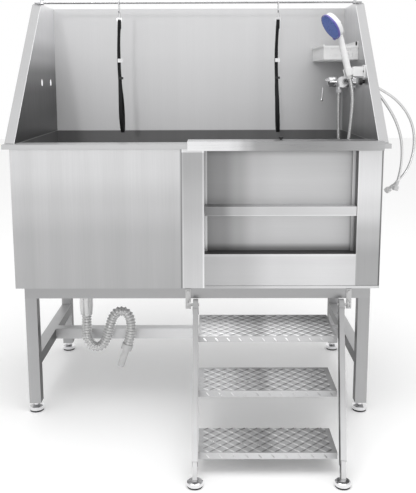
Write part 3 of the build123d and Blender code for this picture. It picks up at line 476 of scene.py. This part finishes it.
# Left door post: painted light by height with a bright band at the top; along X a painted shadow line at the seam and
# painted highlights on both edges.
m_post_l = steel("steel_post_left", [(0.455, 200), (0.60, 194), (0.75, 182), (0.88, 170), (0.914, 172), (0.9165, 226), (0.944, 228)], depth=0.03, bands=0.03,
                 painted_light_ramps=[("X", [(-0.0505, 0.7), (-0.0485, 0.7), (-0.0475, 1.14), (-0.0445, 1.14), (-0.0435, 1.0), (0.0185, 1.0), (0.0200, 1.35), (0.0252, 1.35)])])
# Right door post: painted light, lighter above the middle; a painted highlight on the left edge and a painted shadow
# line at the right edge.
m_post_r = steel("steel_post_right", [(0.452, 166), (0.56, 166), (0.64, 184), (0.72, 214), (0.80, 226), (0.944, 216)], depth=0.03, bands=0.03,
                 painted_light_ramps=[("X", [(0.534, 1.14), (0.5375, 1.14), (0.5385, 1.0), (0.6110, 1.0), (0.6122, 0.3), (0.617, 0.3)])])
# Near-black painted shade for the recess faces: the door posts' return faces and the sill's top.
m_painted_recess_shade = steel("steel_painted_recess_shade", [(0.45, 60), (0.95, 60)], depth=0.02, bands=0.02, metal=0.5, rough=0.5)
m_painted_recess_shade_r = steel("steel_painted_recess_shade_right", [(0.45, 96), (0.95, 88)], depth=0.02, bands=0.05, metal=0.5, rough=0.5)
# Sill: painted light, lighter towards the right; a painted highlight along the top edge.
m_sill = steel("steel_sill", [(0.02, 176), (0.14, 186), (0.27, 210), (0.42, 216), (0.54, 210)], axis="X", grain="X", depth=0.02, bands=0.02,
               painted_light_ramps=[("Z", [(0.45, 1.0), (0.5625, 1.0), (0.5635, 1.12), (0.572, 1.12)])])
# Door leaf: painted light, darker at the left; painted shade at the bottom, a painted shadow under the cap at the top,
# and painted shade beside both jambs.
m_leaf = steel("steel_leaf", [(0.02, 138), (0.09, 144), (0.14, 168), (0.20, 194), (0.28, 202), (0.44, 202), (0.535, 198)], axis="X", grain="X", depth=0.02, bands=0.02, metal=0.5,
               painted_light_ramps=[("Z", [(0.571, 0.4), (0.580, 0.55), (0.598, 1.0), (0.895, 1.0), (0.912, 0.74), (0.95, 0.72)]), ("X", [(0.026, 0.5), (0.03, 1.0), (0.518, 1.0), (0.528, 0.55), (0.534, 0.45)])])
# Mid rail: painted shade on the left end; a painted highlight along the lower edge with a painted shadow line just
# above it, and a painted highlight along the top edge.
m_midrail = steel("steel_mid_rail", [(0.02, 120), (0.08, 136), (0.13, 178), (0.22, 200), (0.535, 212)], axis="X", grain="X", depth=0.02, bands=0.02,
                  painted_light_ramps=[("Z", [(0.7015, 1.22), (0.7055, 1.22), (0.7062, 0.86), (0.708, 1.0), (0.7295, 1.0), (0.7305, 1.1), (0.7335, 1.1)])])
# Leg fronts: painted shade, a little darker towards the bottom.
m_tube_front = steel("tube_front", [(0.0, 176), (0.2, 168), (0.46, 164)], depth=0.03, bands=0.03)
# Painted shade: a dark copy of the tube steel for faces turned sideways and for the top rails' undersides.
m_side_painted_shade = steel("tube_side_painted_shade", [(0.0, 96), (0.2, 82), (0.46, 76)], depth=0.05, bands=0.08)
# Lower rails: painted highlight, brightest at the middle.
m_tube_x = steel("tube_x", [(-0.6, 190), (-0.3, 212), (0.0, 242), (0.3, 232), (0.6, 194)], axis="X", grain="X", depth=0.02, bands=0.02, metal=0.5)
m_rail_front = steel("rail_front", [(-0.6, 160), (0.0, 164), (0.6, 168)], axis="X", grain="X", depth=0.015, bands=0.01)
# Step stiles: painted light by height, brightest just above the foot and darker higher up.
m_stile = steel("stile", [(0.0, 178), (0.06, 204), (0.12, 194), (0.22, 168), (0.40, 156)], depth=0.02, bands=0.02, metal=0.3, rough=0.5)
m_chrome = plastic("chrome", (0.82, 0.82, 0.83), 0.10, 0.03, 60, metal=1.0)
m_bracket = plastic("bracket_steel", (lin(196),) * 3, 0.4, 0.04, 60, metal=0.45)
m_satin = plastic("satin_metal", (0.6, 0.6, 0.61), 0.28, 0.04, 60, metal=1.0)
m_rubber = plastic("black_rubber", (0.012, 0.012, 0.012), 0.6, 0.2, 120)
m_black = plastic("black_plastic", (0.014, 0.014, 0.015), 0.42, 0.2, 90)
m_white = plastic("white_plastic", (lin(240),) * 3, 0.25, 0.02, 40, coat=0.5)
m_white_soft = plastic("white_plastic_soft", (lin(236),) * 3, 0.45, 0.02, 40)
m_blue = plastic("blue_plastic", (0.085, 0.16, 0.52), 0.3, 0.12, 200, coat=0.4)
m_blue_dark = plastic("violet_edge", (0.12, 0.10, 0.40), 0.3, 0.1, 200, coat=0.4)
m_hose_end = plastic("pale_grey_plastic", (lin(210),) * 3, 0.35, 0.03, 60)


def paint(node, *mats, pick=None):
    """Gives a CAD node its materials; pick(centre, normal) returns the slot of each face."""
    o = N[node]
    o.data.materials.clear()
    for mm in mats:
        o.data.materials.append(mm)
    for f in o.data.polygons:
        f.material_index = pick(f.center, f.normal) if pick else 0
    return o


paint("front_panel", m_panel)
paint("outer_panels", m_plain)
paint("basin", m_basin)
paint("back_splash", m_wall)
paint("side_splash_left", m_left_in, m_plain, m_flange, pick=lambda c, n: 2 if c.x < -0.6000 else (0 if n.x > 0.5 else 1))
paint("side_splash_right", m_right_in, m_plain, m_flange, pick=lambda c, n: 2 if c.x > 0.6000 else (0 if n.x < -0.5 else 1))
paint("rim", m_rim)
# The posts' return faces inside the opening take the painted shade materials.
paint("door_posts", m_post_l, m_post_r, m_painted_recess_shade, m_painted_recess_shade_r, pick=lambda c, n: (2 if c.x < 0.2 else 3) if (abs(n.x) > 0.7 and 0.015 < c.x < 0.545 and c.y > -0.1175) else (0 if c.x < 0.2 else 1))
# The sill's top and rear faces take the painted shade material.
paint("door_sill", m_sill, m_painted_recess_shade, pick=lambda c, n: 1 if (n.z > 0.7 or c.y > -0.1) else 0)
paint("door_leaf", m_leaf)
paint("door_mid_rail", m_midrail)
paint("door_cap", m_cap)
paint("door_knob", m_black)
paint("hanging_bar", m_satin)
paint("wall_fasteners", m_black, m_satin, pick=lambda c, n: 1 if c.z > 1.40 else 0)
# Faces turned sideways on legs, rails, stiles and step legs, and the top rails' undersides, take the painted shade copy
# of the tube steel.
paint("legs", m_tube_front, m_side_painted_shade, pick=lambda c, n: 1 if abs(n.x) > 0.7 else 0)
paint("top_rails", m_rail_front, m_side_painted_shade, pick=lambda c, n: 1 if (abs(n.x) > 0.7 or n.z < -0.7) else 0)
paint("lower_rails", m_tube_x, m_side_painted_shade, pick=lambda c, n: 1 if abs(n.x) > 0.7 else 0)
paint("step_brackets", m_bracket)
paint("step_stiles", m_stile, m_side_painted_shade, pick=lambda c, n: 1 if abs(n.x) > 0.7 else 0)
for t in ("left", "right"):
    paint(f"step_leg_{t}", m_stile, m_side_painted_shade, pick=lambda c, n: 1 if abs(n.x) > 0.7 else 0)
    paint(f"step_foot_{t}", m_chrome, m_rubber, pick=lambda c, n: 1 if c.z < 0.0051 else 0)
    for e in ("front", "rear"):
        paint(f"foot_{e}_{t}", m_chrome, m_rubber, pick=lambda c, n: 1 if c.z < 0.0061 else 0)
for n_ in ("drain_flange", "drain_strainer", "mixer_body", "mixer_fittings", "mixer_cap", "mixer_lever"):
    paint(n_, m_chrome)
for t in ("left", "right"):
    for k in ("hook", "slider"):
        paint(f"loop_{t}_{k}", m_chrome)
    paint(f"loop_{t}_ring", m_black)
paint("drain_gasket", m_rubber)
paint("drain_tailpiece", m_corrug)
paint("drain_spigot", m_hose_end)
paint("shower_holder", m_white)
paint("handset", m_white)
paint("handset_cone_nut", m_white)
paint("spray_face", m_blue)
paint("spray_selector", m_blue_dark)
paint("holder_knob", m_black)
paint("soap_basket", m_white_soft)
paint("supply_hose_nuts", m_hose_end)

# Sheet edges and tube corners are rounded.
for n_ in ("rim", "door_cap", "front_panel", "door_posts", "door_sill"):
    bevel(N[n_], 0.0007, 2)
for n_ in ("legs", "top_rails", "lower_rails", "step_stiles"):
    bevel(N[n_], 0.0022, 2)
for n_ in ("handset", "shower_holder", "mixer_body", "mixer_cap"):
    bevel(N[n_], 0.0015, 2)

# ------------------------------------------------------------------ tread plate pattern
def plate(name, k, rough, metal):
    m, nt, b = new_mat(name, rough, metal, spec=0.5)
    # Painted light along X: lighter at the left end, darker towards the right, with a brighter band near 0.25 m.
    colr = ramp_along(nt, "X", [(0.0, 214 * k), (0.08, 204 * k), (0.17, 172 * k), (0.21, 158 * k), (0.25, 188 * k), (0.32, 182 * k), (0.40, 158 * k), (0.47, 138 * k)])
    nzc = noise(nt, (60, 60, 60), 3, 0.6)
    colr = times(nt, colr, remap(nt, nzc, 0.3, 0.7, 0.9, 1.1))
    nt.links.new(colr, b.inputs["Base Color"])
    nt.links.new(remap(nt, nzc, 0.3, 0.7, rough - 0.05, rough + 0.08), b.inputs["Roughness"])
    bp = nt.nodes.new("ShaderNodeBump")
    bp.inputs["Strength"].default_value = 0.15
    bp.inputs["Distance"].default_value = 0.001
    nt.links.new(nzc, bp.inputs["Height"])
    nt.links.new(bp.outputs[0], b.inputs["Normal"])
    return m


# Painted light per tread: the top tread lighter. Each tread also gets a painted lit copy and a painted shade copy for
# the two bar directions.
TREAD_PAINTED_LIGHT = {"tread_top": 1.26, "tread_middle": 0.98, "tread_bottom": 0.92}
m_treads = {t_: (plate(t_ + "_plate", k_, 0.45, 0.25), plate(t_ + "_bar_painted_lit", k_ * 1.2, 0.3, 0.35), plate(t_ + "_bar_painted_shade", k_ * 0.76, 0.35, 0.45))
            for t_, k_ in TREAD_PAINTED_LIGHT.items()}
m_lip = steel("tread_lip", [(0.0, 204), (0.25, 210), (0.48, 202)], axis="X", grain="X", depth=0.03, bands=0.03, metal=0.35)


def lozenge(c, u, v, n, length, width, height, V, F):
    base = len(V)
    m_ = 10
    for lvl, (kl, kw, kh) in enumerate(((1.0, 1.0, 0.0), (0.82, 0.62, 0.75), (0.5, 0.25, 1.0))):
        for k in range(m_):
            a = 2 * math.pi * k / m_
            V.append(c + u * (math.cos(a) * length / 2 * kl) + v * (math.sin(a) * width / 2 * kw) + n * (height * kh - (0.0004 if lvl == 0 else 0)))
    for lvl in range(2):
        for k in range(m_):
            a, b2 = base + lvl * m_ + k, base + lvl * m_ + (k + 1) % m_
            F.append((a, b2, b2 + m_, a + m_))
    F.append(tuple(base + 2 * m_ + k for k in range(m_)))


for name in ("tread_top", "tread_middle", "tread_bottom"):
    lo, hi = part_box(name)
    m_plate, m_bar_painted_lit, m_bar_painted_shade = m_treads[name]
    paint(name, m_plate, m_lip, pick=lambda c, n, lo=lo: 1 if c.y < lo.y + 0.003 and c.z < hi.z - 0.0015 else 0)
    groups = {"light": ([], []), "dark": ([], [])}
    pitch = 0.0193
    cols = int((hi.x - lo.x - 0.012) / pitch)
    off = ((hi.x - lo.x) - (cols - 1) * pitch) / 2
    rows = max(2, int((hi.y - lo.y - 0.016) / pitch) + 1)
    for j in range(rows):
        for i in range(cols):
            c = Vector((lo.x + off + i * pitch, lo.y + 0.012 + j * pitch, hi.z))
            sg = 1 if (i + j) % 2 else -1
            a = math.radians(40 * sg)
            u = Vector((math.cos(a), math.sin(a), 0))
            v = Vector((-math.sin(a), math.cos(a), 0))
            # Bars of one direction take the painted lit copy, the other the painted shade copy; the lip bars take the
            # lit one.
            V, F = groups["dark" if sg > 0 else "light"]
            lozenge(c, u, v, Vector((0, 0, 1)), 0.0235, 0.0058, 0.0019, V, F)
    V, F = groups["light"]
    for i in range(0, cols, 2):
        c = Vector((lo.x + off + i * pitch + 0.006, lo.y, (lo.z + hi.z) / 2 - 0.001))
        a = math.radians(-48)
        u = Vector((math.cos(a), 0, math.sin(a)))
        v = Vector((math.sin(a), 0, -math.cos(a)))
        lozenge(c, u, v, Vector((0, -1, 0)), 0.0165, 0.005, 0.0014, V, F)
    for key, mat_ in (("light", m_bar_painted_lit), ("dark", m_bar_painted_shade)):
        V, F = groups[key]
        o = obj(f"{name}_bars_{key}", V, F, [mat_], "steps", smooth=True)

# ------------------------------------------------------------------ floor and light
m_floor, nt, b = new_mat("floor_white", 0.95, 0.0, (0.97, 0.97, 0.97), spec=0.05)
fl = noise(nt, (3, 3, 3), 2, 0.5)
rgbf = nt.nodes.new("ShaderNodeRGB")
rgbf.outputs[0].default_value = (0.97, 0.97, 0.97, 1)
nt.links.new(times(nt, rgbf.outputs[0], remap(nt, fl, 0.3, 0.7, 0.995, 1.005)), b.inputs["Base Color"])
b.inputs["Emission Color"].default_value = (1, 1, 1, 1)
b.inputs["Emission Strength"].default_value = 0.07
floor = obj("floor", [(-12, -12, 0), (12, -12, 0), (12, 12, 0), (-12, 12, 0)], [(0, 1, 2, 3)], m_floor)
floor.location.z = -0.0004
floor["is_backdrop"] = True

w = bpy.data.worlds.new("studio")
S.world = w
w.use_nodes = True
wt = w.node_tree
bg = wt.nodes["Background"]
bg.inputs["Color"].default_value = (1, 1, 1, 1)
bg.inputs["Strength"].default_value = 1.0
# The room seen in the metal: bright in front and above, grey at the sides and low down.
wtc = wt.nodes.new("ShaderNodeTexCoord")
wsx = wt.nodes.new("ShaderNodeSeparateXYZ")
wt.links.new(wtc.outputs["Generated"], wsx.inputs[0])
wz = wt.nodes.new("ShaderNodeValToRGB")
wz.color_ramp.interpolation = "EASE"
while len(wz.color_ramp.elements) < 6:
    wz.color_ramp.elements.new(0.5)
for e, (q, v) in zip(wz.color_ramp.elements, ((0.0, 0.55), (0.40, 0.60), (0.50, 0.92), (0.60, 1.0), (0.80, 1.0), (1.0, 1.0))):
    e.position = q
    e.color = (v, v, v, 1)
wmr = wt.nodes.new("ShaderNodeMapRange")
wmr.inputs["From Min"].default_value = -1
wmr.inputs["From Max"].default_value = 1
wt.links.new(wsx.outputs["Z"], wmr.inputs["Value"])
wt.links.new(wmr.outputs[0], wz.inputs[0])
wx = wt.nodes.new("ShaderNodeValToRGB")
wx.color_ramp.interpolation = "EASE"
while len(wx.color_ramp.elements) < 5:
    wx.color_ramp.elements.new(0.5)
for e, (q, v) in zip(wx.color_ramp.elements, ((0.0, 0.85), (0.18, 0.60), (0.42, 1.0), (0.62, 1.0), (1.0, 0.66))):
    e.position = q
    e.color = (v, v, v, 1)
wmx = wt.nodes.new("ShaderNodeMapRange")
wmx.inputs["From Min"].default_value = -1
wmx.inputs["From Max"].default_value = 1
wt.links.new(wsx.outputs["X"], wmx.inputs["Value"])
wt.links.new(wmx.outputs[0], wx.inputs[0])
wm = wt.nodes.new("ShaderNodeMix")
wm.data_type = "RGBA"
wm.blend_type = "MULTIPLY"
wm.inputs["Factor"].default_value = 1.0
wt.links.new(wz.outputs[0], wm.inputs["A"])
wt.links.new(wx.outputs[0], wm.inputs["B"])
bg2 = wt.nodes.new("ShaderNodeBackground")
bg2.inputs["Strength"].default_value = 1.0
wt.links.new(wm.outputs["Result"], bg2.inputs["Color"])
lp = wt.nodes.new("ShaderNodeLightPath")
mxs = wt.nodes.new("ShaderNodeMixShader")
wt.links.new(lp.outputs["Is Camera Ray"], mxs.inputs[0])
wt.links.new(bg2.outputs[0], mxs.inputs[1])
wt.links.new(bg.outputs[0], mxs.inputs[2])
wt.links.new(mxs.outputs[0], wt.nodes["World Output"].inputs["Surface"])


def area(name, loc, target, size, power, color=(1, 1, 1)):
    d = bpy.data.lights.new(name, "AREA")
    d.shape = "RECTANGLE"
    d.size, d.size_y = size
    d.energy = power
    d.color = color
    o = bpy.data.objects.new(name, d)
    S.collection.objects.link(o)
    o.location = loc
    o.rotation_mode = "QUATERNION"
    o.rotation_quaternion = (Vector(target) - Vector(loc)).to_track_quat("-Z", "Y")
    return o


sun_d = bpy.data.lights.new("key", "SUN")
sun_d.energy = 0.16
sun_d.angle = math.radians(4)
sun = bpy.data.objects.new("key", sun_d)
S.collection.objects.link(sun)
sun.rotation_mode = "QUATERNION"
sun.rotation_quaternion = Vector((35, 212, -33)).normalized().to_track_quat("-Z", "Y")
area("top", (0.0, -0.6, 3.6), (0, 0, 0.4), (3.2, 2.4), 45)

# ------------------------------------------------------------------ end
lo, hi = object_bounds()
